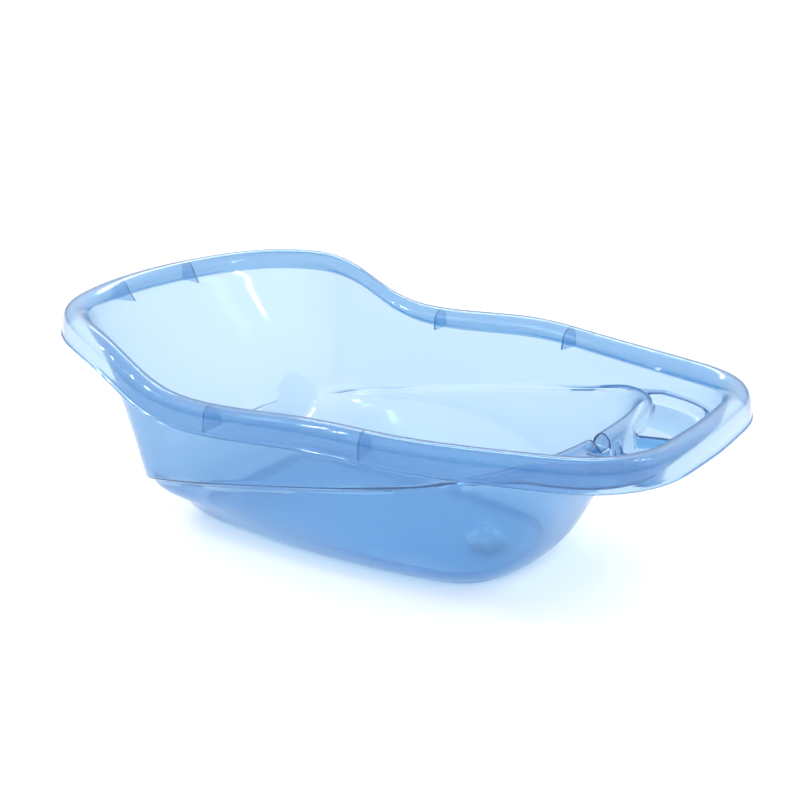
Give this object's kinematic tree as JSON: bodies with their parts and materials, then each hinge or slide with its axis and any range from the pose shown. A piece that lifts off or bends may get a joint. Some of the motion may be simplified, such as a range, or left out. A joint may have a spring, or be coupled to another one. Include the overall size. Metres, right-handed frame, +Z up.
{
  "type": "baby bathtub",
  "caption": "Translucent moulded baby bathtub with a high backrest, rolled rim, stepped bowl, a tray with a soap dish at the foot end, and a floor drain with a lift-out plug.",
  "frame": {"origin": "on the surface the tub stands on, under the middle of its outline", "axes": "+X from the backrest to the foot end, +Z up, +Y to the left of a baby facing the foot end"},
  "size_m": [0.821, 0.507, 0.267],
  "materials": {
    "shell": "glossy translucent",
    "drain": "glossy",
    "seal": "matte",
    "plug": "satin"
  },
  "bodies": {
    "tub": {"tub_shell": "shell", "drain_body": "drain", "drain_gasket": "seal", "drain_nut": "drain"},
    "plug": {"drain_plug": "plug"}
  },
  "joints": [
    {"name": "plug_lift", "type": "slide", "parent": "tub", "child": "plug", "axis": [0, 0, 1], "range_m": [0, 0.06]}
  ]
}
